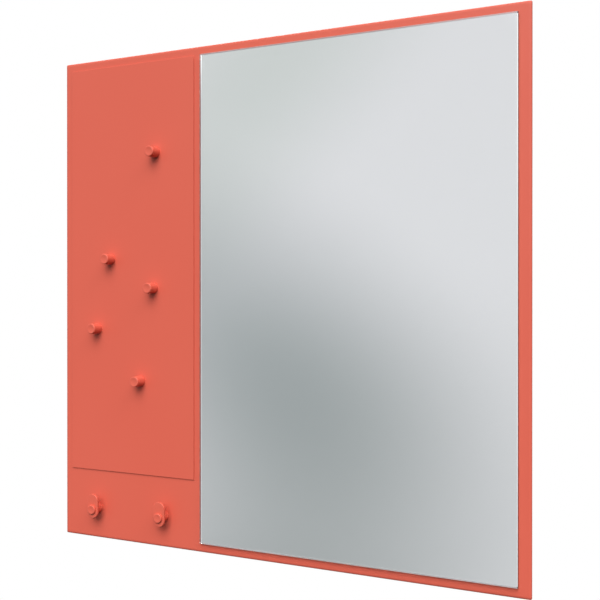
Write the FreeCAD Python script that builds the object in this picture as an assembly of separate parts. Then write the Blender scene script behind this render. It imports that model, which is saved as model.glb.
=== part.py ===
import FreeCAD, Part
import math
import os

from FreeCAD import Vector

# Wall mirror with a steel notice board, five magnet knobs and two coat hooks on one square panel.
# Millimetres, +Z up. The wall is the plane y = 0, the front looks along -Y, and the panel's centre
# is at x = z = 0.

# Panel: lacquered fibreboard with a rounded front edge, and bevelled back so that only a thin edge shows.
PANEL_SIDE = 696.0
PANEL_THICKNESS = 12.0
PANEL_CORNER = 2.0
PANEL_EASE = 1.5
PANEL_LAND = 2.5
MARGIN = 12.0

# Mirror: float glass with a silver coat behind it, on strips of foam tape.
MIRROR_WIDTH = 441.5
MIRROR_FOOT_MARGIN = 13.0
GLASS_THICKNESS = 3.7
GLASS_ARRIS = 1.5
GLASS_BACK_ARRIS = 0.4
SILVER_THICKNESS = 0.3
SILVER_INSET = 0.6
FOAM_TAPE_THICKNESS = 1.6
FOAM_TAPE_WIDTH = 19.0
FOAM_TAPE_COUNT = 5
FOAM_TAPE_END_GAP = 24.0

# Notice board: coated steel sheet on strips of thin tape.
BOARD_WIDTH = 215.5
BOARD_HEIGHT = 585.5
BOARD_THICKNESS = 1.0
BOARD_CORNER = 1.0
BOARD_EASE = 0.3
BOARD_TAPE_THICKNESS = 0.5
BOARD_TAPE_WIDTH = 19.0
BOARD_TAPE_COUNT = 4
BOARD_TAPE_END_GAP = 12.0

# Magnet knobs: turned bodies with a shallow dished face and a disc magnet let into the foot.
KNOB_DIAMETER = 15.0
KNOB_LENGTH = 17.0
KNOB_ROUNDING = 1.2
KNOB_FOOT_CHAMFER = 0.4
KNOB_DISH_DIAMETER = 11.4
KNOB_DISH_DEPTH = 0.5
MAGNET_DIAMETER = 10.0
MAGNET_THICKNESS = 3.0
MAGNET_CHAMFER = 0.3
MAGNET_RECESS = 0.1
MAGNET_GLUE_GAP = 0.1
KNOB_PLACES = ((-184.5, 207.0), (-263.5, 57.5), (-188.0, 15.5), (-287.5, -43.0), (-210.5, -116.5))

# Coat hooks: a stem, an upright pill-shaped plate and a round-headed bolt through both, near the
# plate's foot.
HOOK_SPACING = 117.0
HOOK_HEIGHT_ON_PANEL = 31.0
HOOK_STEM_DIAMETER = 13.0
HOOK_STEM_LENGTH = 12.5
HOOK_STEM_CHAMFER = 0.4
HOOK_PLATE_WIDTH = 19.0
HOOK_PLATE_HEIGHT = 34.5
HOOK_PLATE_THICKNESS = 3.5
HOOK_PLATE_ROUNDING = 0.9
HOOK_BOLT_HEIGHT_ON_PLATE = 12.5
HOOK_BUTTON_DIAMETER = 13.0
HOOK_BUTTON_HEIGHT = 3.0
HOOK_BUTTON_ROUNDING = 0.9
HOOK_BUTTON_DISH_DIAMETER = 10.0
HOOK_BUTTON_DISH_DEPTH = 0.4
HOOK_SHANK_DIAMETER = 5.0
HOOK_SHANK_CHAMFER = 0.6
HOOK_HOLE_GAP = 0.15
HOOK_COUNTERBORE_DIAMETER = 15.0
HOOK_COUNTERBORE_DEPTH = 6.5
WASHER_DIAMETER = 12.0
WASHER_THICKNESS = 1.0
NUT_ACROSS_FLATS = 8.0
NUT_HEIGHT = 4.0
NUT_CORNER_CUT = 0.6
NUT_BORE_GAP = 0.05
SHANK_PAST_NUT = 0.5

# Keyhole hangers: steel plates flush with the panel's back, over a pocket for the wall screw's head.
HANGER_SPACING = 480.0
HANGER_HEIGHT_ON_PANEL = 270.0
HANGER_WIDTH = 18.0
HANGER_THICKNESS = 2.0
HANGER_EASE = 0.3
HANGER_POCKET_GAP = 0.2
KEYHOLE_ENTRY_DIAMETER = 10.0
KEYHOLE_SLOT_WIDTH = 5.2
KEYHOLE_DROP = 14.0
HEAD_POCKET_WIDTH = 12.0
HEAD_POCKET_DEPTH = 7.0
HANGER_SCREW_OFFSET = 13.0
HANGER_SCREW_EDGE = 8.0
SCREW_HEAD_DIAMETER = 6.4
SCREW_SHANK_DIAMETER = 3.2
SCREW_LENGTH = 9.0
SCREW_POINT = 2.0
SCREW_SINK = 0.1
SCREW_RIM = 0.3
SCREW_GAP = 0.05
SCREW_DRIVE_WIDTH = 0.9
SCREW_DRIVE_SPAN = 3.4
SCREW_DRIVE_DEPTH = 1.4

# Places worked out from the sizes above.
PANEL_HALF = PANEL_SIDE / 2
PANEL_FRONT = -PANEL_THICKNESS
PANEL_EDGE_BACK = PANEL_FRONT + PANEL_LAND
PANEL_BACK_SIDE = PANEL_SIDE - 2 * (PANEL_THICKNESS - PANEL_LAND)
MIRROR_HEIGHT = PANEL_SIDE - MARGIN - MIRROR_FOOT_MARGIN
MIRROR_X = -PANEL_HALF + 2 * MARGIN + BOARD_WIDTH + MIRROR_WIDTH / 2
MIRROR_Z = (MIRROR_FOOT_MARGIN - MARGIN) / 2
BOARD_X = -PANEL_HALF + MARGIN + BOARD_WIDTH / 2
BOARD_Z = PANEL_HALF - MARGIN - BOARD_HEIGHT / 2
BOARD_BACK = PANEL_FRONT - BOARD_TAPE_THICKNESS
BOARD_FRONT = BOARD_BACK - BOARD_THICKNESS
SILVER_BACK = PANEL_FRONT - FOAM_TAPE_THICKNESS
GLASS_BACK = SILVER_BACK - SILVER_THICKNESS
HOOK_PLATE_FOOT = -PANEL_HALF + HOOK_HEIGHT_ON_PANEL
HOOK_PLATE_Z = HOOK_PLATE_FOOT + HOOK_PLATE_HEIGHT / 2
HOOK_PLATE_BACK = PANEL_FRONT - HOOK_STEM_LENGTH
HOOK_BUTTON_BACK = HOOK_PLATE_BACK - HOOK_PLATE_THICKNESS
HOOK_BOLT_Z = HOOK_PLATE_FOOT + HOOK_BOLT_HEIGHT_ON_PLATE
HOOK_PLACES = {"left": BOARD_X - HOOK_SPACING / 2, "right": BOARD_X + HOOK_SPACING / 2}
WASHER_SEAT = -HOOK_COUNTERBORE_DEPTH
NUT_SEAT = WASHER_SEAT + WASHER_THICKNESS
HANGER_PLACES = {"left": -HANGER_SPACING / 2, "right": HANGER_SPACING / 2}
HANGER_LOW_SCREW_Z = HANGER_HEIGHT_ON_PANEL - HANGER_SCREW_OFFSET
HANGER_HIGH_SCREW_Z = HANGER_HEIGHT_ON_PANEL + KEYHOLE_DROP + HANGER_SCREW_OFFSET
HANGER_PLATE_Z = (HANGER_LOW_SCREW_Z + HANGER_HIGH_SCREW_Z) / 2
HANGER_PLATE_HEIGHT = HANGER_HIGH_SCREW_Z - HANGER_LOW_SCREW_Z + 2 * HANGER_SCREW_EDGE
HEAD_POCKET_HEIGHT = KEYHOLE_DROP + HEAD_POCKET_WIDTH

FORWARD = Vector(0, -1, 0)
# Share of a rounding's radius that its middle stands in from the sharp corner.
ARC_INSET = 1 - math.sqrt(0.5)


def rectangle(width, height, x, z):
    """Upright rectangle in the plane y = 0, centred on (x, z)."""
    corners = ((-1, -1), (1, -1), (1, 1), (-1, 1), (-1, -1))
    points = [Vector(x + sx * width / 2, 0, z + sz * height / 2) for sx, sz in corners]
    return Part.Face(Part.makePolygon(points))


def rounded_square(side, corner):
    """Upright square in the plane y = 0, centred on the origin, with rounded corners."""
    half = side / 2
    flat = half - corner
    lean = half - corner * ARC_INSET
    edges = []
    for quarter in range(4):
        line = Part.makeLine(Vector(half, 0, -flat), Vector(half, 0, flat))
        arc = Part.Arc(Vector(half, 0, flat), Vector(lean, 0, lean), Vector(flat, 0, half)).toShape()
        for edge in (line, arc):
            edge.rotate(Vector(0, 0, 0), FORWARD, 90 * quarter)
            edges.append(edge)
    return Part.Face(Part.Wire(edges))


def pill(width, height, x, z):
    """Upright pill in the plane y = 0, centred on (x, z): straight sides and half-round ends."""
    radius = width / 2
    end = height / 2 - radius
    top_left = Vector(x - radius, 0, z + end)
    top = Vector(x, 0, z + end + radius)
    top_right = Vector(x + radius, 0, z + end)
    low_right = Vector(x + radius, 0, z - end)
    low = Vector(x, 0, z - end - radius)
    low_left = Vector(x - radius, 0, z - end)
    edges = [
        Part.Arc(top_left, top, top_right).toShape(),
        Part.makeLine(top_right, low_right),
        Part.Arc(low_right, low, low_left).toShape(),
        Part.makeLine(low_left, top_left),
    ]
    return Part.Face(Part.Wire(edges))


def slab(face, back, thickness):
    """Sheet of the face's outline, from the plane y = back towards the front."""
    return face.translated(Vector(0, back, 0)).extrude(FORWARD * thickness)


def rod(diameter, x, z, back, length):
    """Plain round bar along y, from the plane y = back towards the front."""
    return Part.makeCylinder(diameter / 2, length, Vector(x, back, z), FORWARD)


def turned(start, steps, x, z):
    """Lathe-turned solid about the line (x, z) along y.

    start is a point (radius, y). Each step is one more point for a straight cut, or a pair of points,
    middle and end, for a round one. The outline closes back to its start.
    """
    here = Vector(start[0], start[1], 0)
    edges = []
    for step in steps + (start,):
        if isinstance(step[0], tuple):
            middle = Vector(step[0][0], step[0][1], 0)
            there = Vector(step[1][0], step[1][1], 0)
            edges.append(Part.Arc(here, middle, there).toShape())
        else:
            there = Vector(step[0], step[1], 0)
            edges.append(Part.makeLine(here, there))
        here = there
    face = Part.Face(Part.Wire(edges))
    solid = face.revolve(Vector(0, 0, 0), Vector(0, 1, 0), 360)
    solid.translate(Vector(x, 0, z))
    return solid


def dished_end(radius, front, rounding, dish_radius, dish_depth):
    """Outline steps of a turned end: rounded rim, flat ring and a shallow dish that ends on the axis."""
    sphere = (dish_radius ** 2 + dish_depth ** 2) / (2 * dish_depth)
    halfway = dish_radius / 2
    halfway_y = front + dish_depth - sphere + math.sqrt(sphere ** 2 - halfway ** 2)
    inset = rounding * ARC_INSET
    return (
        (radius, front + rounding),
        ((radius - inset, front + inset), (radius - rounding, front)),
        (dish_radius, front),
        ((halfway, halfway_y), (0, front + dish_depth)),
    )


def edges_on_plane(shape, y):
    """Edges of the shape that lie in the plane of that y."""
    near = 1e-6
    flat = [edge for edge in shape.Edges if edge.BoundBox.YLength < near]
    return [edge for edge in flat if abs(edge.BoundBox.YMin - y) < near]


def strips(count, width, length, thickness, field_width, x, z):
    """Upright tape strips spread evenly over a field, on the panel's front, as separate solids."""
    pitch = (field_width - width) / count
    first = x - pitch * (count - 1) / 2
    tapes = [rectangle(width, length, first + pitch * i, z) for i in range(count)]
    return Part.Compound([slab(tape, PANEL_FRONT, thickness) for tape in tapes])


def keyhole_screw_places():
    """Places (x, z) of the four screws that hold the hanger plates."""
    heights = (HANGER_LOW_SCREW_Z, HANGER_HIGH_SCREW_Z)
    return [(x, z) for x in HANGER_PLACES.values() for z in heights]


def countersunk_screw(x, z, grow=0.0):
    """Countersunk wood screw driven in from the back; grow widens it into the hole that it sits in."""
    head = SCREW_HEAD_DIAMETER / 2 + grow
    shank = SCREW_SHANK_DIAMETER / 2 + grow
    top = 0.0 if grow else -SCREW_SINK
    rim = -SCREW_SINK - SCREW_RIM
    neck = rim - (head - shank)
    tip = -SCREW_LENGTH - grow
    steps = ((head, top), (head, rim), (shank, neck), (shank, tip + SCREW_POINT), (0, tip))
    return turned((0, top), steps, x, z)


def drive_recess(x, z):
    """Cross-shaped recess for the screwdriver."""
    bars = ((SCREW_DRIVE_WIDTH, SCREW_DRIVE_SPAN), (SCREW_DRIVE_SPAN, SCREW_DRIVE_WIDTH))
    cuts = [slab(rectangle(w, h, x, z), 0.0, SCREW_SINK + SCREW_DRIVE_DEPTH) for w, h in bars]
    return cuts[0].fuse(cuts[1])


def back_panel():
    """Square board, bevelled back, with hook holes, their counterbores and pockets for the hangers."""
    outline = rounded_square(PANEL_SIDE, PANEL_CORNER)
    front = slab(outline, PANEL_EDGE_BACK, PANEL_LAND)
    front = front.makeFillet(PANEL_EASE, edges_on_plane(front, PANEL_FRONT))
    edge_back = outline.translated(Vector(0, PANEL_EDGE_BACK, 0))
    back = rounded_square(PANEL_BACK_SIDE, PANEL_CORNER)
    bevelled = Part.makeLoft([edge_back.OuterWire, back.OuterWire], True, True)
    panel = front.fuse(bevelled).removeSplitter()
    tools = []
    for x in HOOK_PLACES.values():
        tools.append(rod(HOOK_SHANK_DIAMETER + 2 * HOOK_HOLE_GAP, x, HOOK_BOLT_Z, 0, PANEL_THICKNESS))
        tools.append(rod(HOOK_COUNTERBORE_DIAMETER, x, HOOK_BOLT_Z, 0, HOOK_COUNTERBORE_DEPTH))
    for x in HANGER_PLACES.values():
        gap = 2 * HANGER_POCKET_GAP
        seat = pill(HANGER_WIDTH + gap, HANGER_PLATE_HEIGHT + gap, x, HANGER_PLATE_Z)
        tools.append(slab(seat, 0, HANGER_THICKNESS))
        head_room = pill(HEAD_POCKET_WIDTH, HEAD_POCKET_HEIGHT, x, HANGER_PLATE_Z)
        tools.append(slab(head_room, 0, HANGER_THICKNESS + HEAD_POCKET_DEPTH))
    tools += [countersunk_screw(x, z, SCREW_GAP) for x, z in keyhole_screw_places()]
    return panel.cut(tools)


def hanger_plate(x):
    """Keyhole plate: the wall screw's head enters the round hole, then the panel drops onto the slot."""
    plate = slab(pill(HANGER_WIDTH, HANGER_PLATE_HEIGHT, x, HANGER_PLATE_Z), 0, HANGER_THICKNESS)
    plate = plate.makeFillet(HANGER_EASE, edges_on_plane(plate, 0))
    slot_height = KEYHOLE_DROP + KEYHOLE_SLOT_WIDTH
    cuts = [
        rod(KEYHOLE_ENTRY_DIAMETER, x, HANGER_HEIGHT_ON_PANEL, 0, HANGER_THICKNESS),
        slab(pill(KEYHOLE_SLOT_WIDTH, slot_height, x, HANGER_PLATE_Z), 0, HANGER_THICKNESS),
    ]
    cuts += [countersunk_screw(px, z, SCREW_GAP) for px, z in keyhole_screw_places() if px == x]
    return plate.cut(cuts)


def hanger_screws():
    """The four screws of the hanger plates, as separate solids."""
    screws = [countersunk_screw(x, z).cut(drive_recess(x, z)) for x, z in keyhole_screw_places()]
    return Part.Compound(screws)


def mirror_glass():
    """Sheet of glass with a polished arris round the front and a small one round the back."""
    glass = slab(rectangle(MIRROR_WIDTH, MIRROR_HEIGHT, MIRROR_X, MIRROR_Z), GLASS_BACK, GLASS_THICKNESS)
    glass = glass.makeChamfer(GLASS_ARRIS, edges_on_plane(glass, GLASS_BACK - GLASS_THICKNESS))
    return glass.makeChamfer(GLASS_BACK_ARRIS, edges_on_plane(glass, GLASS_BACK))


def mirror_silvering():
    """Silver coat with its backing film, a little smaller than the glass."""
    width = MIRROR_WIDTH - 2 * SILVER_INSET
    height = MIRROR_HEIGHT - 2 * SILVER_INSET
    return slab(rectangle(width, height, MIRROR_X, MIRROR_Z), SILVER_BACK, SILVER_THICKNESS)


def notice_board_plate():
    """Steel sheet with lightly rounded corners and an eased front edge."""
    plate = slab(rectangle(BOARD_WIDTH, BOARD_HEIGHT, BOARD_X, BOARD_Z), BOARD_BACK, BOARD_THICKNESS)
    corners = [edge for edge in plate.Edges if edge.BoundBox.YLength > BOARD_THICKNESS / 2]
    plate = plate.makeFillet(BOARD_CORNER, corners)
    return plate.makeFillet(BOARD_EASE, edges_on_plane(plate, BOARD_FRONT))


def magnet_knob(x, z):
    """Turned knob: chamfered foot with a magnet pocket, round body, rounded rim and dished face."""
    radius = KNOB_DIAMETER / 2
    foot = BOARD_FRONT
    pocket = MAGNET_DIAMETER / 2 + MAGNET_GLUE_GAP
    floor = foot - MAGNET_RECESS - MAGNET_THICKNESS - MAGNET_GLUE_GAP
    steps = (
        (pocket, floor),
        (pocket, foot),
        (radius - KNOB_FOOT_CHAMFER, foot),
        (radius, foot - KNOB_FOOT_CHAMFER),
    )
    steps += dished_end(radius, foot - KNOB_LENGTH, KNOB_ROUNDING, KNOB_DISH_DIAMETER / 2, KNOB_DISH_DEPTH)
    return turned((0, floor), steps, x, z)


def magnet_disc(x, z):
    """Disc magnet in the knob's foot, a hair back from the steel sheet."""
    back = BOARD_FRONT - MAGNET_RECESS
    disc = rod(MAGNET_DIAMETER, x, z, back, MAGNET_THICKNESS)
    rims = edges_on_plane(disc, back) + edges_on_plane(disc, back - MAGNET_THICKNESS)
    return disc.makeChamfer(MAGNET_CHAMFER, rims)


def hook_stem(x):
    """Round spacer that carries the hook's plate off the panel."""
    radius = HOOK_STEM_DIAMETER / 2
    bore = HOOK_SHANK_DIAMETER / 2 + HOOK_HOLE_GAP
    steps = (
        (radius - HOOK_STEM_CHAMFER, PANEL_FRONT),
        (radius, PANEL_FRONT - HOOK_STEM_CHAMFER),
        (radius, HOOK_PLATE_BACK + HOOK_STEM_CHAMFER),
        (radius - HOOK_STEM_CHAMFER, HOOK_PLATE_BACK),
        (bore, HOOK_PLATE_BACK),
    )
    return turned((bore, PANEL_FRONT), steps, x, HOOK_BOLT_Z)


def hook_plate(x):
    """Upright pill-shaped plate, rounded all round, with the bolt hole in its lower half."""
    outline = pill(HOOK_PLATE_WIDTH, HOOK_PLATE_HEIGHT, x, HOOK_PLATE_Z)
    plate = slab(outline, HOOK_PLATE_BACK, HOOK_PLATE_THICKNESS)
    rims = edges_on_plane(plate, HOOK_PLATE_BACK) + edges_on_plane(plate, HOOK_BUTTON_BACK)
    plate = plate.makeFillet(HOOK_PLATE_ROUNDING, rims)
    hole = HOOK_SHANK_DIAMETER + 2 * HOOK_HOLE_GAP
    return plate.cut(rod(hole, x, HOOK_BOLT_Z, HOOK_PLATE_BACK, HOOK_PLATE_THICKNESS))


def hook_button(x):
    """Round-headed bolt: its head holds the plate and its shank runs back through stem and panel."""
    shank = HOOK_SHANK_DIAMETER / 2
    end = NUT_SEAT + NUT_HEIGHT + SHANK_PAST_NUT
    radius = HOOK_BUTTON_DIAMETER / 2
    front = HOOK_BUTTON_BACK - HOOK_BUTTON_HEIGHT
    steps = (
        (shank - HOOK_SHANK_CHAMFER, end),
        (shank, end - HOOK_SHANK_CHAMFER),
        (shank, HOOK_BUTTON_BACK),
        (radius, HOOK_BUTTON_BACK),
    )
    dish = HOOK_BUTTON_DISH_DIAMETER / 2
    steps += dished_end(radius, front, HOOK_BUTTON_ROUNDING, dish, HOOK_BUTTON_DISH_DEPTH)
    return turned((0, end), steps, x, HOOK_BOLT_Z)


def hook_washer(x):
    """Flat washer on the floor of the counterbore."""
    disc = rod(WASHER_DIAMETER, x, HOOK_BOLT_Z, NUT_SEAT, WASHER_THICKNESS)
    hole = HOOK_SHANK_DIAMETER + 2 * HOOK_HOLE_GAP
    return disc.cut(rod(hole, x, HOOK_BOLT_Z, NUT_SEAT, WASHER_THICKNESS))


def hook_nut(x):
    """Hexagon nut with its corners cut back on the outer side."""
    corner = NUT_ACROSS_FLATS / math.sqrt(3)
    outer = NUT_SEAT + NUT_HEIGHT
    angles = [math.radians(60 * i) for i in range(7)]
    points = [Vector(x + corner * math.cos(a), 0, HOOK_BOLT_Z + corner * math.sin(a)) for a in angles]
    prism = slab(Part.Face(Part.makePolygon(points)), outer, NUT_HEIGHT)
    bore = HOOK_SHANK_DIAMETER / 2 + NUT_BORE_GAP
    steps = (
        (corner - NUT_CORNER_CUT, outer),
        (corner, outer - NUT_CORNER_CUT * math.tan(math.radians(30))),
        (corner, NUT_SEAT),
        (bore, NUT_SEAT),
    )
    return prism.common(turned((bore, outer), steps, x, HOOK_BOLT_Z))


def pieces():
    """Every piece of the assembly by its node name."""
    nodes = {
        "back_panel": back_panel(),
        "hanger_screws": hanger_screws(),
        "mirror_glass": mirror_glass(),
        "mirror_silvering": mirror_silvering(),
        "mirror_tape_strips": strips(
            FOAM_TAPE_COUNT, FOAM_TAPE_WIDTH, MIRROR_HEIGHT - 2 * FOAM_TAPE_END_GAP,
            FOAM_TAPE_THICKNESS, MIRROR_WIDTH, MIRROR_X, MIRROR_Z),
        "notice_board_plate": notice_board_plate(),
        "board_tape_strips": strips(
            BOARD_TAPE_COUNT, BOARD_TAPE_WIDTH, BOARD_HEIGHT - 2 * BOARD_TAPE_END_GAP,
            BOARD_TAPE_THICKNESS, BOARD_WIDTH, BOARD_X, BOARD_Z),
    }
    for side, x in HANGER_PLACES.items():
        nodes[f"hanger_plate_{side}"] = hanger_plate(x)
    for number, (x, z) in enumerate(KNOB_PLACES, start=1):
        nodes[f"magnet_knob_{number}"] = magnet_knob(x, z)
        nodes[f"magnet_disc_{number}"] = magnet_disc(x, z)
    hook_makers = {
        "stem": hook_stem,
        "plate": hook_plate,
        "button": hook_button,
        "washer": hook_washer,
        "nut": hook_nut,
    }
    for side, x in HOOK_PLACES.items():
        for name, make in hook_makers.items():
            nodes[f"hook_{side}_{name}"] = make(x)
    return nodes


os.makedirs("parts", exist_ok=True)
for node, shape in pieces().items():
    print(f"{node}: {len(shape.Solids)} solid(s), {shape.Volume:.1f} mm3, valid {shape.isValid()}")
    shape.exportStep(f"parts/{node}.step")
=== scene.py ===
import logging
import math
from collections.abc import Callable
from dataclasses import dataclass
from enum import Enum
from functools import cached_property
from typing import Any

import bmesh
import bpy
from bpy.types import Material, Node, NodeSocket, NodeTree, Object
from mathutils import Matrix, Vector


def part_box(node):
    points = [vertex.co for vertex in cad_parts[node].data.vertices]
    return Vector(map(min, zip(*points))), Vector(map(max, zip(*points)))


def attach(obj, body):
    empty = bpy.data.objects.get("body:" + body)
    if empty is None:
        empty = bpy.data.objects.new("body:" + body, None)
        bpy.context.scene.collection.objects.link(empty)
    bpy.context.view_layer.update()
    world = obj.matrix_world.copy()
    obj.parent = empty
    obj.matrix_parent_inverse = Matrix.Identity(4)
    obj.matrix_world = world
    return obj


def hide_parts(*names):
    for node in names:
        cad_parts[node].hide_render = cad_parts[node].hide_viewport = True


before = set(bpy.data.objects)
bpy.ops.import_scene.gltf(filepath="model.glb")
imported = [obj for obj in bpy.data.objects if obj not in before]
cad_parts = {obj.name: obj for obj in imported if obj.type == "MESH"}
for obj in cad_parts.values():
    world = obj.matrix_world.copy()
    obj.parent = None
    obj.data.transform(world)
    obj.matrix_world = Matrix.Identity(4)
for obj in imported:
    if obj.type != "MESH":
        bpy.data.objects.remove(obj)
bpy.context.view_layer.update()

# Wall mirror with a steel notice board, five magnet knobs and two coat hooks on one lacquered panel.
# Metres, +Z up. The wall is the plane y = 0 and the front looks along -Y.

MM = 0.001
NEAR = 0.01 * MM
CHAMFER_STEPS = 2
ROUNDING_STEPS = 6
FLAT_FACES_FIRST = 100
LOG = logging.getLogger("wall_mirror")


class Element(Enum):
    """What an edit-mode selection is made of."""

    CORNER = "VERT"
    EDGE = "EDGE"
    FACE = "FACE"


class Slot(Enum):
    """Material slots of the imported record."""

    PANEL = "coral_lacquer"
    BOARD = "coral_steel"
    KNOB = "coral_knob"
    HOOK = "coral_hook"
    GLASS = "float_glass"
    SILVER = "silver_coat"
    TAPE = "foam_tape"
    ZINC = "zinc_steel"
    NICKEL = "nickel"


def linear(code: str) -> tuple[float, float, float, float]:
    """Turns an sRGB hex colour to linear light.

    Args:
        code: the colour as "#RRGGBB".

    Returns:
        Red, green, blue and alpha in linear light.
    """
    shares = [int(code[i:i + 2], 16) / 255 for i in (1, 3, 5)]
    red, green, blue = (s / 12.92 if s <= 0.04045 else ((s + 0.055) / 1.055) ** 2.4 for s in shares)
    return red, green, blue, 1.0


def per(size: float) -> float:
    """Gives the texture scale at which a pattern's features have that size in millimetres."""
    return 1 / (size * MM)


def plug(sockets: Any, key: str | int) -> NodeSocket:
    """Finds a socket by its identifier, its name or its number."""
    return next((s for s in sockets if s.identifier == key), None) or sockets[key]


def add_node(
    tree: NodeTree,
    kind: str,
    settings: dict[str, Any] | None = None,
    inputs: dict[str | int, Any] | None = None,
) -> Node:
    """Adds a node with its settings, values and links.

    Args:
        tree: the tree that gets the node.
        kind: the node's type.
        settings: properties of the node itself.
        inputs: a value, or another node's socket, for each input.

    Returns:
        The new node.
    """
    node = tree.nodes.new(kind)
    for name, value in (settings or {}).items():
        setattr(node, name, value)
    for key, value in (inputs or {}).items():
        socket = plug(node.inputs, key)
        if isinstance(value, NodeSocket):
            tree.links.new(value, socket)
        else:
            socket.default_value = value
    return node


def noise(tree: NodeTree, place: NodeSocket, size: float, detail: float) -> NodeSocket:
    """Adds a noise pattern to a material.

    Args:
        tree: the material's tree.
        place: the place on the piece.
        size: the size of its features in millimetres.
        detail: how many finer layers it has.

    Returns:
        The pattern's level, from 0 to 1.
    """
    pattern = add_node(
        tree, "ShaderNodeTexNoise", inputs={"Vector": place, "Scale": per(size), "Detail": detail})
    return pattern.outputs["Fac"]


def blend(tree: NodeTree, share: NodeSocket, first: Any, second: Any) -> NodeSocket:
    """Mixes two colours in a material.

    Args:
        tree: the material's tree.
        share: the second colour's share, from 0 to 1.
        first: the first colour, or its socket.
        second: the second colour, or its socket.

    Returns:
        The mixed colour's socket.
    """
    mix = add_node(tree, "ShaderNodeMix", {"data_type": "RGBA"}, {
        "Factor_Float": share, "A_Color": first, "B_Color": second})
    return plug(mix.outputs, "Result_Color")


def spread(tree: NodeTree, level: NodeSocket, low: float, high: float) -> NodeSocket:
    """Spreads a level from 0 to 1 over a range of values.

    Args:
        tree: the material's tree.
        level: the level's socket.
        low: what 0 becomes.
        high: what 1 becomes.

    Returns:
        The value's socket.
    """
    scale = add_node(tree, "ShaderNodeMapRange", inputs={"Value": level, "To Min": low, "To Max": high})
    return scale.outputs["Result"]


def level_with(y: float) -> Callable[[Vector], bool]:
    """Gives a test that a corner lies in the plane across Y at that place."""
    return lambda co: abs(co.y - y) < NEAR


@dataclass(frozen=True)
class Finish:
    """What all finishes share: a name and one material. A finish gives its sizes in millimetres."""

    name: str

    @cached_property
    def material(self) -> Material:
        """Makes the finish's material when it is first asked for.

        Returns:
            The material.
        """
        made = bpy.data.materials.new(self.name)
        made.use_nodes = True
        tree = made.node_tree
        tree.nodes.clear()
        shader = self.shader(tree)
        output = add_node(tree, "ShaderNodeOutputMaterial", inputs={"Surface": shader.outputs[0]})
        self.fill(tree, output)
        return made

    def shader(self, tree: NodeTree) -> Node:
        """Builds the surface shader in the tree and returns it."""
        raise NotImplementedError

    def fill(self, tree: NodeTree, output: Node) -> None:
        """Adds what lies inside the surface, where there is something."""


@dataclass(frozen=True)
class CoralPaint(Finish):
    """Satin coral paint, sprayed or powder-coated and cured.

    To the eye it is one even colour with a soft broad sheen; close up the film has a faint orange peel,
    and it draws round the edges, which look rounder than what is under it.
    """

    colour: str = "#DA614D"
    pale: str = "#DC6551"
    drift: float = 160.0
    blotches_per_drift: float = 3.0
    gleam: float = 0.4
    roughness: float = 0.46
    sheen_drift: float = 0.03
    peel: float = 2.4
    peel_depth: float = 0.02
    peel_strength: float = 0.25
    draw: float = 0.3
    draw_samples: int = 6

    def tone(self, tree: NodeTree, place: NodeSocket) -> NodeSocket:
        """Mixes the film's colour, which drifts a little across the piece.

        Args:
            tree: the material's tree.
            place: the place on the piece.

        Returns:
            The colour's socket.
        """
        return blend(tree, noise(tree, place, self.drift, 2.0), linear(self.colour), linear(self.pale))

    def gloss(self, tree: NodeTree, place: NodeSocket) -> NodeSocket:
        """Lets the film's roughness drift in blotches.

        Args:
            tree: the material's tree.
            place: the place on the piece.

        Returns:
            The roughness's socket.
        """
        blotches = noise(tree, place, self.drift / self.blotches_per_drift, 3.0)
        return spread(tree, blotches, self.roughness - self.sheen_drift, self.roughness + self.sheen_drift)

    def shader(self, tree: NodeTree) -> Node:
        """Builds the paint: drifting tone, drifting sheen and orange peel.

        Args:
            tree: the material's tree.

        Returns:
            The surface shader.
        """
        place = add_node(tree, "ShaderNodeTexCoord").outputs["Object"]
        film = add_node(tree, "ShaderNodeBevel", {"samples": self.draw_samples}, {"Radius": self.draw * MM})
        bump = add_node(tree, "ShaderNodeBump", inputs={
            "Strength": self.peel_strength,
            "Distance": self.peel_depth * MM,
            "Height": noise(tree, place, self.peel, 1.0),
            "Normal": film.outputs["Normal"],
        })
        return add_node(tree, "ShaderNodeBsdfPrincipled", inputs={
            "Base Color": self.tone(tree, place),
            "Roughness": self.gloss(tree, place),
            "Specular IOR Level": self.gleam,
            "Normal": bump.outputs["Normal"],
        })


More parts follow.
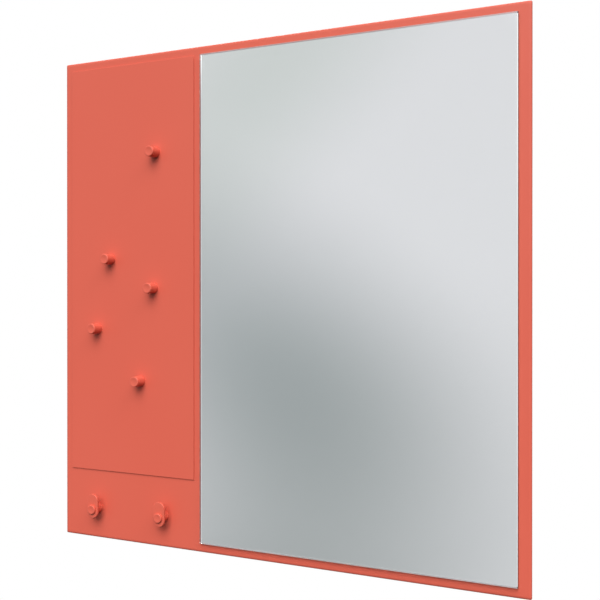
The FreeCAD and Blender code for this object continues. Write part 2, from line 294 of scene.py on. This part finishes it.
@dataclass(frozen=True)
class PaintedFibreboard(CoralPaint):
    """Coral paint on fibreboard; the pockets cut in the back stay bare, brown, dull and felted."""

    core: str = "#8C6A48"
    core_dark: str = "#6E5136"
    core_roughness: float = 0.9
    fibre: float = 0.9
    skin_margin: float = 15.0
    skin_depth: float = 0.3

    def bare(self, tree: NodeTree, place: NodeSocket) -> NodeSocket:
        """Marks the bare core, which shows only well inside the board's faces.

        Args:
            tree: the material's tree.
            place: the place on the piece.

        Returns:
            The mask's socket, 1 on the core.
        """
        low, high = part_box("back_panel")
        axes = add_node(tree, "ShaderNodeSeparateXYZ", inputs={"Vector": place})
        skins = {"X": self.skin_margin, "Y": self.skin_depth, "Z": self.skin_margin}
        within = []
        for number, (axis, skin) in enumerate(skins.items()):
            middle = (low[number] + high[number]) / 2
            reach = (high[number] - low[number]) / 2 - skin * MM
            test = add_node(tree, "ShaderNodeMath", {"operation": "COMPARE"}, {
                0: axes.outputs[axis], 1: middle, 2: reach})
            within.append(test.outputs[0])
        across = add_node(tree, "ShaderNodeMath", {"operation": "MULTIPLY"}, {0: within[0], 1: within[2]})
        inside = add_node(
            tree, "ShaderNodeMath", {"operation": "MULTIPLY"}, {0: across.outputs[0], 1: within[1]})
        return inside.outputs[0]

    def tone(self, tree: NodeTree, place: NodeSocket) -> NodeSocket:
        """Mixes the paint with the felted core.

        Args:
            tree: the material's tree.
            place: the place on the piece.

        Returns:
            The colour's socket.
        """
        felt = noise(tree, place, self.fibre, 4.0)
        core = blend(tree, felt, linear(self.core_dark), linear(self.core))
        return blend(tree, self.bare(tree, place), super().tone(tree, place), core)

    def gloss(self, tree: NodeTree, place: NodeSocket) -> NodeSocket:
        """Makes the core duller than the paint.

        Args:
            tree: the material's tree.
            place: the place on the piece.

        Returns:
            The roughness's socket.
        """
        mix = add_node(tree, "ShaderNodeMix", {"data_type": "FLOAT"}, {
            "Factor_Float": self.bare(tree, place),
            "A_Float": super().gloss(tree, place),
            "B_Float": self.core_roughness,
        })
        return plug(mix.outputs, "Result_Float")


@dataclass(frozen=True)
class FloatGlass(Finish):
    """Clear float glass with polished edges: colourless through the face, faintly green along the edge."""

    tint: str = "#FFFFFF"
    ior: float = 1.52
    smear: float = 140.0
    smear_roughness: float = 0.006
    body: str = "#CFEBDD"
    density: float = 4.0

    def shader(self, tree: NodeTree) -> Node:
        """Builds the clear face; wiping leaves a trace of unevenness in its polish.

        Args:
            tree: the material's tree.

        Returns:
            The surface shader.
        """
        place = add_node(tree, "ShaderNodeTexCoord").outputs["Object"]
        smears = noise(tree, place, self.smear, 3.0)
        return add_node(tree, "ShaderNodeBsdfPrincipled", inputs={
            "Base Color": linear(self.tint),
            "Roughness": spread(tree, smears, 0.0, self.smear_roughness),
            "IOR": self.ior,
            "Transmission Weight": 1.0,
        })

    def fill(self, tree: NodeTree, output: Node) -> None:
        """Colours the light by its path through the glass.

        Args:
            tree: the material's tree.
            output: the material's output.
        """
        iron = add_node(tree, "ShaderNodeVolumeAbsorption", inputs={
            "Color": linear(self.body), "Density": self.density})
        tree.links.new(iron.outputs["Volume"], output.inputs["Volume"])


@dataclass(frozen=True)
class SilverCoat(Finish):
    """Silver laid on glass, a clean bright mirror, with grey protective paint on its back and edges."""

    silver: str = "#F6F6F6"
    paint: str = "#6D7072"
    roughness: float = 0.0
    paint_roughness: float = 0.6
    paint_drift: float = 0.08
    grain: float = 1.5
    edge_facing: float = -0.5
    front_facing: float = -0.6

    def shader(self, tree: NodeTree) -> Node:
        """Builds the mirror and its painted back, told apart by the way the surface faces.

        Args:
            tree: the material's tree.

        Returns:
            The surface shader.
        """
        place = add_node(tree, "ShaderNodeTexCoord").outputs["Object"]
        speckle = noise(tree, place, self.grain, 2.0)
        dull = spread(
            tree, speckle, self.paint_roughness - self.paint_drift, self.paint_roughness + self.paint_drift)
        back = add_node(tree, "ShaderNodeBsdfPrincipled", inputs={
            "Base Color": linear(self.paint), "Roughness": dull})
        mirror = add_node(tree, "ShaderNodeBsdfPrincipled", inputs={
            "Base Color": linear(self.silver), "Metallic": 1.0, "Roughness": self.roughness})
        facing = add_node(tree, "ShaderNodeNewGeometry").outputs["True Normal"]
        axes = add_node(tree, "ShaderNodeSeparateXYZ", inputs={"Vector": facing})
        front = add_node(tree, "ShaderNodeMapRange", inputs={
            "Value": axes.outputs["Y"], "From Min": self.edge_facing, "From Max": self.front_facing})
        return add_node(tree, "ShaderNodeMixShader", inputs={
            "Fac": front.outputs["Result"], 1: back.outputs[0], 2: mirror.outputs[0]})


@dataclass(frozen=True)
class FoamTape(Finish):
    """White polyethylene foam tape: matt, with fine closed cells.

    The cells are drawn coarser than they are, so that a close view shows them.
    """

    colour: str = "#E9E8E3"
    shadow: str = "#D2D0C9"
    cell: float = 0.8
    pit: float = 0.1
    pit_strength: float = 0.4
    roughness: float = 0.9

    def shader(self, tree: NodeTree) -> Node:
        """Builds the foam: cells that pit the surface, and painted shade that darkens it between them.

        Args:
            tree: the material's tree.

        Returns:
            The surface shader.
        """
        place = add_node(tree, "ShaderNodeTexCoord").outputs["Object"]
        cells = add_node(tree, "ShaderNodeTexVoronoi", inputs={"Vector": place, "Scale": per(self.cell)})
        depth = cells.outputs["Distance"]
        bump = add_node(tree, "ShaderNodeBump", inputs={
            "Strength": self.pit_strength, "Distance": self.pit * MM, "Height": depth})
        return add_node(tree, "ShaderNodeBsdfPrincipled", inputs={
            # painted shade: the base colour turns towards the shadow tone between the cells
            "Base Color": blend(tree, depth, linear(self.colour), linear(self.shadow)),
            "Roughness": self.roughness,
            "Normal": bump.outputs["Normal"],
        })


@dataclass(frozen=True)
class PlatedSteel(Finish):
    """Plated steel: a bright grey metal whose plating is cloudy and lightly pitted.

    The grain is drawn coarser than it is, so that a close view shows it.
    """

    colour: str = "#C3C7CC"
    cloud: str = "#AEB3B8"
    clouding: float = 6.0
    roughness: float = 0.32
    gloss_drift: float = 0.1
    grain: float = 0.5
    pit: float = 0.02
    pit_strength: float = 0.2

    def shader(self, tree: NodeTree) -> Node:
        """Builds the plating: clouds in tone and gloss over a fine grain.

        Args:
            tree: the material's tree.

        Returns:
            The surface shader.
        """
        place = add_node(tree, "ShaderNodeTexCoord").outputs["Object"]
        clouds = noise(tree, place, self.clouding, 4.0)
        grain = noise(tree, place, self.grain, 2.0)
        bump = add_node(tree, "ShaderNodeBump", inputs={
            "Strength": self.pit_strength, "Distance": self.pit * MM, "Height": grain})
        return add_node(tree, "ShaderNodeBsdfPrincipled", inputs={
            "Base Color": blend(tree, clouds, linear(self.colour), linear(self.cloud)),
            "Metallic": 1.0,
            "Roughness": spread(
                tree, clouds, self.roughness - self.gloss_drift, self.roughness + self.gloss_drift),
            "Normal": bump.outputs["Normal"],
        })


FINISHES: dict[Slot, Finish] = {
    Slot.PANEL: PaintedFibreboard("lacquered_fibreboard", draw=5.0),
    Slot.BOARD: CoralPaint("powder_coated_steel", peel=1.6),
    Slot.KNOB: CoralPaint("lacquered_turned_knob", roughness=0.42, peel=1.2, drift=30.0),
    Slot.HOOK: CoralPaint("lacquered_hook_metal", roughness=0.42, peel=1.2, drift=30.0),
    Slot.GLASS: FloatGlass("clear_float_glass"),
    Slot.SILVER: SilverCoat("silver_mirror_coat"),
    Slot.TAPE: FoamTape("white_foam_tape"),
    Slot.ZINC: PlatedSteel("zinc_plated_steel"),
    Slot.NICKEL: PlatedSteel(
        "nickel_plated_magnet", colour="#D2CCC0", cloud="#C4BDB0", clouding=4.0, roughness=0.24),
}


class Workpiece:
    """A mesh on the bench: a primitive that edit-mode tools shape into one piece."""

    def __init__(self, name: str, primitive: Callable[..., set[str]], **settings: Any) -> None:
        """Adds the primitive at its size and place, with its place in its mesh.

        Args:
            name: the piece's name.
            primitive: the operator that adds the primitive.
            settings: what the operator is given.
        """
        bpy.ops.object.select_all(action="DESELECT")
        primitive(**settings)
        self.object: Object = bpy.context.active_object
        self.object.name = name
        self.object.data.name = name
        bpy.ops.object.transform_apply(location=True, rotation=True, scale=True)

    @classmethod
    def bar(cls, name: str, sides: int, radius: float, low: Vector, high: Vector) -> "Workpiece":
        """Cuts a round bar that lies along Y.

        Args:
            name: the bar's name.
            sides: how many flats it is drawn with.
            radius: its radius.
            low: the middle of its front end.
            high: the middle of its back end.

        Returns:
            The bar on the bench.
        """
        return cls(
            name, bpy.ops.mesh.primitive_cylinder_add, vertices=sides, radius=radius, depth=high.y - low.y,
            location=(low + high) / 2, rotation=(math.pi / 2, math.pi / sides, 0))

    def pick(self, kind: Element, test: Callable[[Vector], bool]) -> None:
        """Selects the elements all of whose corners pass the test, and nothing else.

        Args:
            kind: what to select.
            test: says of a corner's place whether it belongs.
        """
        bpy.ops.object.mode_set(mode="EDIT")
        bpy.ops.mesh.select_mode(type=kind.value)
        bpy.ops.mesh.select_all(action="DESELECT")
        mesh = bmesh.from_edit_mesh(self.object.data)
        groups = {Element.CORNER: mesh.verts, Element.EDGE: mesh.edges, Element.FACE: mesh.faces}
        for member in groups[kind]:
            corners = [member] if kind is Element.CORNER else member.verts
            member.select_set(all(test(corner.co) for corner in corners))
        mesh.select_flush_mode()
        bmesh.update_edit_mesh(self.object.data)

    def ease(self, y: float, width: float, segments: int = 1) -> None:
        """Breaks or rounds the edges that lie in a plane across Y.

        Args:
            y: the plane.
            width: how wide the edge is broken, or the radius of its rounding.
            segments: 1 for a flat bevel, more for a rounding.
        """
        self.pick(Element.EDGE, level_with(y))
        bpy.ops.mesh.bevel(
            offset=width, offset_type="OFFSET", segments=segments, profile=0.5, affect="EDGES")

    def drill(self, bit: "Workpiece") -> None:
        """Takes another bar's shape out of the finished piece and clears that bar away.

        Args:
            bit: the bar.
        """
        bpy.context.view_layer.objects.active = self.object
        hole = self.object.modifiers.new("hole", "BOOLEAN")
        hole.operation = "DIFFERENCE"
        hole.solver = "EXACT"
        hole.object = bit.object
        bpy.ops.object.modifier_apply(modifier=hole.name)
        bpy.data.meshes.remove(bit.object.data)
        self.object.select_set(True)

    def done(self, smooth_angle: float = 35.0) -> Object:
        """Smooths the faces that meet at less than the angle and keeps flat ones flat.

        Args:
            smooth_angle: the angle in degrees.

        Returns:
            The finished object.
        """
        bpy.ops.object.mode_set(mode="OBJECT")
        bpy.ops.object.shade_smooth_by_angle(angle=math.radians(smooth_angle))
        even = self.object.modifiers.new("even", "WEIGHTED_NORMAL")
        even.weight = FLAT_FACES_FIRST
        even.keep_sharp = True
        bpy.ops.object.modifier_apply(modifier=even.name)
        return self.object

    def copy(self, name: str, shift: Vector) -> Object:
        """Copies the finished piece, with a mesh of its own, to another place.

        Args:
            name: the copy's name.
            shift: how far the copy stands from the piece.

        Returns:
            The copy.
        """
        bpy.ops.object.select_all(action="DESELECT")
        self.object.select_set(True)
        bpy.context.view_layer.objects.active = self.object
        bpy.ops.object.duplicate(linked=False)
        twin = bpy.context.active_object
        twin.name = name
        twin.data.name = name
        bpy.ops.transform.translate(value=shift)
        bpy.ops.object.transform_apply(location=True, rotation=True, scale=True)
        return twin


def dress(piece: Object, slot: Slot) -> None:
    """Gives a piece or a node the finish of a slot.

    Args:
        piece: the mesh object.
        slot: the record's slot.
    """
    if not piece.material_slots:
        piece.data.materials.append(None)
    for holder in piece.material_slots:
        holder.material = FINISHES[slot].material
    LOG.info("%s: %s, %d faces", piece.name, FINISHES[slot].name, len(piece.data.polygons))


def stand_for(piece: Object, node: str, body: str, slot: Slot) -> None:
    """Dresses a new piece, sets it in a node's stead and lets it ride on the node's body.

    Args:
        piece: the new mesh object.
        node: the node that it replaces.
        body: the body that carries it.
        slot: the record's slot that it takes its finish from.
    """
    dress(piece, slot)
    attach(piece, body)
    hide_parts(node)


def ends(node: str) -> tuple[Vector, Vector, float]:
    """Measures a node that lies along Y.

    Args:
        node: its name.

    Returns:
        The middle of its front end, the middle of its back end, and half its width.
    """
    low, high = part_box(node)
    across, up = (low.x + high.x) / 2, (low.z + high.z) / 2
    return Vector((across, low.y, up)), Vector((across, high.y, up)), (high.x - low.x) / 2


def dished_end(
    work: Workpiece, front: Vector, radius: float, rounding: float, ring: float, depth: float,
) -> None:
    """Rounds the rim of a turned bar's front end and sinks a shallow dish in its face.

    Args:
        work: the bar, which points along -Y.
        front: the middle of its front end.
        radius: the bar's radius.
        rounding: radius of the rim.
        ring: width of the flat ring between rim and dish.
        depth: how deep the dish is.
    """
    steps = ROUNDING_STEPS
    work.ease(front.y, rounding, steps)
    work.pick(Element.FACE, level_with(front.y))
    bpy.ops.mesh.inset(thickness=ring)
    edge = radius - rounding - ring
    sphere = (edge ** 2 + depth ** 2) / (2 * depth)
    fall = [math.sqrt(sphere ** 2 - (edge * (1 - i / steps)) ** 2) for i in range(steps)]
    for i in range(1, steps):
        bpy.ops.mesh.inset(thickness=edge / steps, depth=fall[i - 1] - fall[i])


@dataclass
class Panel:
    """The lacquered board with the keyhole hangers in its back."""

    node: str = "back_panel"
    hangers: tuple[str, ...] = ("hanger_plate_left", "hanger_plate_right", "hanger_screws")

    def build(self) -> None:
        """Dresses the board, its hangers and their screws."""
        dress(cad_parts[self.node], Slot.PANEL)
        for name in self.hangers:
            dress(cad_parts[name], Slot.ZINC)


@dataclass
class Mirror:
    """The mirror: a sheet of glass, the silver coat behind it and the foam tape that holds them."""

    arris: float = 0.9 * MM
    back_arris: float = 0.4 * MM
    air_film: float = 0.03 * MM
    coat_edge: float = 0.05 * MM
    smooth_angle: float = 5.0

    def build(self) -> None:
        """Grinds the glass, lays the silver coat and dresses both and the tape."""
        stand_for(self.glass(), "mirror_glass", "panel", Slot.GLASS)
        stand_for(self.coat(), "mirror_silvering", "panel", Slot.SILVER)
        dress(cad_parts["mirror_tape_strips"], Slot.TAPE)

    def sheet(self, name: str, low: Vector, high: Vector) -> Workpiece:
        """Cuts a plain sheet to size.

        Args:
            name: the sheet's name.
            low: its lowest corner.
            high: its highest corner.

        Returns:
            The sheet on the bench.
        """
        return Workpiece(
            name, bpy.ops.mesh.primitive_cube_add, size=1.0, location=(low + high) / 2, scale=high - low)

    def glass(self) -> Object:
        """Grinds the arris round the front and a small one round the back of the glass.

        Returns:
            The glass.
        """
        low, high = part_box("mirror_glass")
        work = self.sheet("mirror_glass_sheet", low, high)
        work.ease(low.y, self.arris)
        work.ease(high.y, self.back_arris)
        return work.done(self.smooth_angle)

    def coat(self) -> Object:
        """Lays the silver coat a hair behind the glass, with feathered edges.

        Returns:
            The coat.
        """
        low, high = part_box("mirror_silvering")
        low.y += self.air_film
        work = self.sheet("mirror_silver_coat", low, high)
        work.ease(high.y, self.coat_edge, CHAMFER_STEPS)
        return work.done(self.smooth_angle)


@dataclass
class NoticeBoard:
    """The coated steel sheet and its tape."""

    def build(self) -> None:
        """Dresses the sheet and its tape."""
        dress(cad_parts["notice_board_plate"], Slot.BOARD)
        dress(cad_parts["board_tape_strips"], Slot.TAPE)


@dataclass
class MagnetKnobs:
    """The turned knobs, each on a body of its own, with a magnet let into the foot."""

    count: int = 5
    sides: int = 96
    rounding: float = 1.2 * MM
    ring: float = 0.6 * MM
    dish: float = 0.5 * MM
    foot_chamfer: float = 0.4 * MM
    glue_gap: float = 0.1 * MM

    def build(self) -> None:
        """Turns one knob, copies it to the other places and dresses knobs and magnets."""
        first = self.turn()
        home, _, _ = ends("magnet_knob_1")
        for number in range(1, self.count + 1):
            node = f"magnet_knob_{number}"
            front, _, _ = ends(node)
            knob = first.object if number == 1 else first.copy(f"knob_body_{number}", front - home)
            stand_for(knob, node, f"knob_{number}", Slot.KNOB)
            dress(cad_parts[f"magnet_disc_{number}"], Slot.NICKEL)

    def turn(self) -> Workpiece:
        """Turns the first knob from a round bar.

        Returns:
            The finished knob on the bench.
        """
        front, foot, radius = ends("magnet_knob_1")
        magnet_front, _, magnet_radius = ends("magnet_disc_1")
        work = Workpiece.bar("knob_body_1", self.sides, radius, front, foot)
        dished_end(work, front, radius, self.rounding, self.ring, self.dish)
        work.ease(foot.y, self.foot_chamfer, CHAMFER_STEPS)
        work.pick(Element.FACE, level_with(foot.y))
        bpy.ops.mesh.inset(thickness=radius - self.foot_chamfer - magnet_radius - self.glue_gap)
        sink = magnet_front.y - self.glue_gap - foot.y
        bpy.ops.mesh.extrude_region_move(TRANSFORM_OT_translate={"value": (0, sink, 0)})
        work.done()
        return work


@dataclass
class CoatHooks:
    """The two hooks: stem, pill-shaped plate and round-headed bolt, clamped by washer and nut.

    The bolt's thread is drawn as rings of the right pitch and depth; its lead is too fine to show.
    """

    sides: int = 96
    plate_rounding: float = 0.9 * MM
    stem_chamfer: float = 0.4 * MM
    bore: float = 2.65 * MM
    button_rounding: float = 0.9 * MM
    button_ring: float = 0.6 * MM
    button_dish: float = 0.4 * MM
    head: float = 3.0 * MM
    shank: float = 2.5 * MM
    shank_chamfer: float = 0.4 * MM
    pitch: float = 0.8 * MM
    thread_depth: float = 0.45 * MM
    thread_turns: int = 12

    def build(self) -> None:
        """Makes the left hook, copies it to the right and dresses both."""
        makers = {"stem": self.stem, "plate": self.plate, "button": self.button}
        left, _, _ = ends("hook_left_stem")
        right, _, _ = ends("hook_right_stem")
        for part, make in makers.items():
            work = make(f"hook_left_{part}")
            twin = work.copy(f"hook_right_{part}_body", right - left)
            stand_for(work.object, f"hook_left_{part}", "panel", Slot.HOOK)
            stand_for(twin, f"hook_right_{part}", "panel", Slot.HOOK)
        for side in ("left", "right"):
            dress(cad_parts[f"hook_{side}_washer"], Slot.ZINC)
            dress(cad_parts[f"hook_{side}_nut"], Slot.ZINC)

    def stem(self, node: str) -> Workpiece:
        """Turns a stem: a bored spacer with broken edges.

        Args:
            node: the node that it stands for.

        Returns:
            The finished stem on the bench.
        """
        front, back, radius = ends(node)
        work = Workpiece.bar(f"{node}_body", self.sides, radius, front, back)
        for end in (front, back):
            work.ease(end.y, self.stem_chamfer, CHAMFER_STEPS)
            work.pick(Element.FACE, level_with(end.y))
            bpy.ops.mesh.inset(thickness=radius - self.stem_chamfer - self.bore)
        reach = (radius + self.bore) / 2
        work.pick(Element.FACE, lambda co: math.hypot(co.x - front.x, co.z - front.z) < reach)
        bpy.ops.mesh.bridge_edge_loops()
        work.done()
        return work

    def plate(self, node: str) -> Workpiece:
        """Draws a disc out into a pill-shaped plate, rounds its rims and drills it for the bolt.

        Args:
            node: the node that it stands for.

        Returns:
            The finished plate on the bench.
        """
        low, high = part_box(node)
        front, back, radius = ends(node)
        axis, _, _ = ends("hook_left_stem")
        front.z = back.z = low.z + radius
        work = Workpiece.bar(f"{node}_body", self.sides, radius, front, back)
        work.pick(Element.CORNER, lambda co: co.z > front.z)
        bpy.ops.transform.translate(value=(0, 0, high.z - low.z - 2 * radius))
        for end in (front, back):
            work.ease(end.y, self.plate_rounding, ROUNDING_STEPS)
        work.done()
        through = Vector((0, high.y - low.y, 0))
        start = Vector((axis.x, front.y, axis.z))
        work.drill(Workpiece.bar("drill", self.sides, self.bore, start - through, start + 2 * through))
        work.done()
        return work

    def button(self, node: str) -> Workpiece:
        """Turns a bolt: dished round head, and a shank with a thread that runs back to the nut.

        Args:
            node: the node that it stands for.

        Returns:
            The finished bolt on the bench.
        """
        front, end, radius = ends(node)
        seat = front + Vector((0, self.head, 0))
        work = Workpiece.bar(f"{node}_body", self.sides, radius, front, seat)
        dished_end(work, front, radius, self.button_rounding, self.button_ring, self.button_dish)
        work.pick(Element.FACE, level_with(seat.y))
        bpy.ops.mesh.inset(thickness=radius - self.shank)
        thread = self.thread_turns * self.pitch
        groove = (self.shank - self.thread_depth) / self.shank
        steps = [(end.y - seat.y - thread - self.shank_chamfer, 1.0)]
        steps += [(self.pitch / 2, groove), (self.pitch / 2, 1 / groove)] * self.thread_turns
        steps += [(self.shank_chamfer, 1 - self.shank_chamfer / self.shank)]
        reached = seat.copy()
        for length, scale in steps:
            reached.y += length
            bpy.ops.mesh.extrude_region_move(TRANSFORM_OT_translate={"value": (0, length, 0)})
            bpy.ops.transform.resize(value=(scale, 1, scale), center_override=reached)
        work.done()
        return work


@dataclass(frozen=True)
class SoftCard:
    """A soft-edged card or softbox on the studio's walls.

    Azimuth counts to the left of straight ahead of the mirror, elevation up from the horizon, in degrees.
    Gain tells how much brighter than its shade a lit one is.
    """

    azimuth: float
    elevation: float
    half_width: float
    half_height: float
    turn: float
    shade: str
    gain: float = 1.0


@dataclass(frozen=True)
class SoftLamp:
    """A large round lamp, far off. Its place is told like a card's, and spread is how wide it looks."""

    name: str
    azimuth: float
    elevation: float
    spread: float
    strength: float


@dataclass
class Studio:
    """White studio with soft light from above, and grey cards in front, which the mirror shows.

    The first three cards give the mirror its soft grey pattern, the fourth brightens its arris, and the
    others give it a pattern from other sides. The lights are a large one above, one at the right and a
    small one that puts a sheen on the margin right of the mirror. The mirror gives back a share of the
    light, and walls, cards and lights are made brighter by as much. Angles are in degrees.
    """

    white: str = "#DBDCDF"
    mirror_share: float = 0.905
    cards: tuple[SoftCard, ...] = (
        SoftCard(28.5, -17.0, 24.5, 17.5, -34.0, "#A4A9AA"),
        SoftCard(31.0, -2.5, 18.0, 11.5, 25.0, "#ACB1B3"),
        SoftCard(29.5, 13.5, 8.5, 25.5, 41.0, "#CACFCE"),
        SoftCard(44.0, 12.0, 7.0, 34.0, 0.0, "#FFFFFF", 1.05),
        SoftCard(-6.0, -4.0, 15.0, 22.0, 20.0, "#B0B5B7"),
        SoftCard(-46.0, -14.0, 30.0, 20.0, 30.0, "#AAB0B2"),
        SoftCard(76.0, -16.0, 28.0, 22.0, -32.0, "#AAB0B2"),
    )
    lights: tuple[SoftCard, ...] = (
        SoftCard(-14.0, 46.0, 52.0, 40.0, 15.0, "#FFFFFF", 8.2),
        SoftCard(-75.0, 46.0, 42.0, 24.0, 0.0, "#FFFFFF", 5.0),
        SoftCard(3.5, 24.0, 16.0, 14.0, 0.0, "#FFFFFF", 6.0),
    )
    dusk_from: float = -20.0
    dusk_to: float = -60.0
    dusk_level: float = 0.5
    fill_from: float = -15.0
    fill_to: float = 10.0
    fill_level: float = 0.25
    lamps: tuple[SoftLamp, ...] = (
        SoftLamp("back_lamp", 155.0, 40.0, 40.0, 2.4),
    )
    floor_height: float = -1.45
    floor_radius: float = 2.4
    floor_sides: int = 128
    floor_colour: str = "#E0DFDD"
    floor_roughness: float = 0.8

    def build(self) -> None:
        """Sets up the world, the lamps and the floor."""
        self.world()
        for lamp in self.lamps:
            self.hang(lamp)
        self.floor()
        bpy.context.scene.view_settings.view_transform = "Standard"

    def world(self) -> None:
        """Paints the surroundings: white to the camera, cards to gloss and glass, soft fill to the rest."""
        world = bpy.data.worlds.new("white_studio")
        bpy.context.scene.world = world
        world.use_nodes = True
        tree = world.node_tree
        tree.nodes.clear()
        ray = add_node(tree, "ShaderNodeTexCoord").outputs["Generated"]
        turned = add_node(tree, "ShaderNodeVectorMath", {"operation": "MULTIPLY"}, {0: ray, 1: (-1, -1, 1)})
        axes = add_node(tree, "ShaderNodeSeparateXYZ", inputs={"Vector": turned.outputs["Vector"]})
        azimuth = add_node(
            tree, "ShaderNodeMath", {"operation": "ARCTAN2"}, {0: axes.outputs["X"], 1: axes.outputs["Y"]})
        elevation = add_node(tree, "ShaderNodeMath", {"operation": "ARCSINE"}, {0: axes.outputs["Z"]})
        angles = add_node(
            tree, "ShaderNodeCombineXYZ", inputs={"X": azimuth.outputs[0], "Y": elevation.outputs[0]})
        studio = self.studio(tree, angles.outputs["Vector"], elevation.outputs[0])
        fill = self.fill(tree, angles.outputs["Vector"], elevation.outputs[0])
        backdrop = add_node(tree, "ShaderNodeBackground", inputs={"Color": (1, 1, 1, 1), "Strength": 1.0})
        path = add_node(tree, "ShaderNodeLightPath")
        clear = add_node(tree, "ShaderNodeMath", {"operation": "MAXIMUM"}, {
            0: path.outputs["Is Glossy Ray"], 1: path.outputs["Is Transmission Ray"]})
        lit = add_node(tree, "ShaderNodeMixShader", inputs={
            "Fac": clear.outputs[0], 1: fill.outputs[0], 2: studio.outputs[0]})
        seen = add_node(tree, "ShaderNodeMixShader", inputs={
            "Fac": path.outputs["Is Camera Ray"], 1: lit.outputs[0], 2: backdrop.outputs[0]})
        add_node(tree, "ShaderNodeOutputWorld", inputs={"Surface": seen.outputs[0]})

    def spot(self, tree: NodeTree, angles: NodeSocket, card: SoftCard) -> NodeSocket:
        """Marks a card in the world.

        Args:
            tree: the world's tree.
            angles: the ray's azimuth and elevation in radians.
            card: the card.

        Returns:
            A mask that is 1 in the card's middle and falls softly to 0 at its edge.
        """
        field = add_node(tree, "ShaderNodeMapping", {"vector_type": "TEXTURE"}, {
            "Vector": angles,
            "Location": (math.radians(card.azimuth), math.radians(card.elevation), 0),
            "Rotation": (0, 0, math.radians(card.turn)),
            "Scale": (math.radians(card.half_width), math.radians(card.half_height), 1),
        })
        ball = add_node(tree, "ShaderNodeTexGradient", {"gradient_type": "SPHERICAL"}, {
            "Vector": field.outputs["Vector"]})
        soft = add_node(tree, "ShaderNodeMapRange", {"interpolation_type": "SMOOTHSTEP"}, {
            "Value": ball.outputs["Fac"]})
        return soft.outputs["Result"]

    def studio(self, tree: NodeTree, angles: NodeSocket, elevation: NodeSocket) -> Node:
        """Sets the lights and the cards before white walls that grow dusky below.

        Args:
            tree: the world's tree.
            angles: the ray's azimuth and elevation in radians.
            elevation: the ray's elevation in radians.

        Returns:
            The background that gloss and glass show.
        """
        white = Vector(linear(self.white)[:3]) / self.mirror_share
        light: Vector | NodeSocket = white
        for card in (*self.cards, *self.lights):
            change = card.gain * Vector(linear(card.shade)[:3]) / self.mirror_share - white
            lit = add_node(tree, "ShaderNodeVectorMath", {"operation": "MULTIPLY_ADD"}, {
                0: self.spot(tree, angles, card), 1: change, 2: light})
            light = lit.outputs["Vector"]
        dusk = add_node(tree, "ShaderNodeMapRange", {"interpolation_type": "SMOOTHSTEP"}, {
            "Value": elevation,
            "From Min": math.radians(self.dusk_to),
            "From Max": math.radians(self.dusk_from),
            "To Min": self.dusk_level,
            "To Max": 1.0,
        })
        return add_node(
            tree, "ShaderNodeBackground", inputs={"Color": light, "Strength": dusk.outputs["Result"]})

    def fill(self, tree: NodeTree, angles: NodeSocket, elevation: NodeSocket) -> Node:
        """Adds the lights to a weak fill, which comes from all sides but below.

        Args:
            tree: the world's tree.
            angles: the ray's azimuth and elevation in radians.
            elevation: the ray's elevation in radians.

        Returns:
            The background that lights the object.
        """
        rise = add_node(tree, "ShaderNodeMapRange", {"interpolation_type": "SMOOTHSTEP"}, {
            "Value": elevation,
            "From Min": math.radians(self.fill_from),
            "From Max": math.radians(self.fill_to),
            "To Max": self.fill_level,
        })
        level = rise.outputs["Result"]
        for light in self.lights:
            lit = add_node(tree, "ShaderNodeMath", {"operation": "MULTIPLY_ADD"}, {
                0: self.spot(tree, angles, light), 1: light.gain, 2: level})
            level = lit.outputs[0]
        return add_node(tree, "ShaderNodeBackground", inputs={"Color": (1, 1, 1, 1), "Strength": level})

    def hang(self, lamp: SoftLamp) -> None:
        """Hangs a lamp and turns it towards the object.

        Args:
            lamp: the lamp.
        """
        azimuth, elevation = math.radians(lamp.azimuth), math.radians(lamp.elevation)
        towards = Vector((
            -math.sin(azimuth) * math.cos(elevation), -math.cos(azimuth) * math.cos(elevation),
            math.sin(elevation)))
        turn = towards.to_track_quat("Z", "Y").to_euler()
        bpy.ops.object.light_add(type="SUN", location=towards, rotation=turn)
        light = bpy.context.active_object
        light.name = lamp.name
        light.data.angle = math.radians(lamp.spread)
        light.data.energy = lamp.strength

    def floor(self) -> None:
        """Lays a round pale floor at a room's depth below the mirror."""
        work = Workpiece(
            "studio_floor", bpy.ops.mesh.primitive_circle_add, vertices=self.floor_sides,
            radius=self.floor_radius, fill_type="NGON", location=(0, 0, self.floor_height))
        made = bpy.data.materials.new("pale_studio_floor")
        made.use_nodes = True
        shader = made.node_tree.nodes["Principled BSDF"]
        shader.inputs["Base Color"].default_value = linear(self.floor_colour)
        shader.inputs["Roughness"].default_value = self.floor_roughness
        work.object.data.materials.append(made)
        # Its far edge would be a hard line in the mirror, and its light would fill the shadows.
        work.object.visible_diffuse = False
        work.object.visible_glossy = False
        work.object.visible_transmission = False


@dataclass
class Viewpoint:
    """The camera, at the height of the mirror's middle and to its right."""

    place: tuple[float, float, float] = (0.6362, -1.1381, 0.0080)
    tilt: float = 89.847
    turn: float = 27.715
    lens: float = 58.58
    sensor: float = 36.0
    shift: float = -0.0064

    def build(self) -> None:
        """Sets up the camera and makes it the scene's."""
        rotation = (math.radians(self.tilt), 0, math.radians(self.turn))
        bpy.ops.object.camera_add(location=self.place, rotation=rotation)
        camera = bpy.context.active_object
        camera.name = "viewpoint"
        camera.data.lens = self.lens
        camera.data.sensor_width = self.sensor
        camera.data.shift_y = self.shift
        bpy.context.scene.camera = camera


def main() -> None:
    """Builds the view, the studio and the sub-assemblies in order."""
    logging.basicConfig(level=logging.INFO, format="%(message)s")
    for assembly in (Viewpoint(), Studio(), Panel(), Mirror(), NoticeBoard(), MagnetKnobs(), CoatHooks()):
        LOG.info("building: %s", type(assembly).__name__)
        assembly.build()


if __name__ == "__main__":
    main()
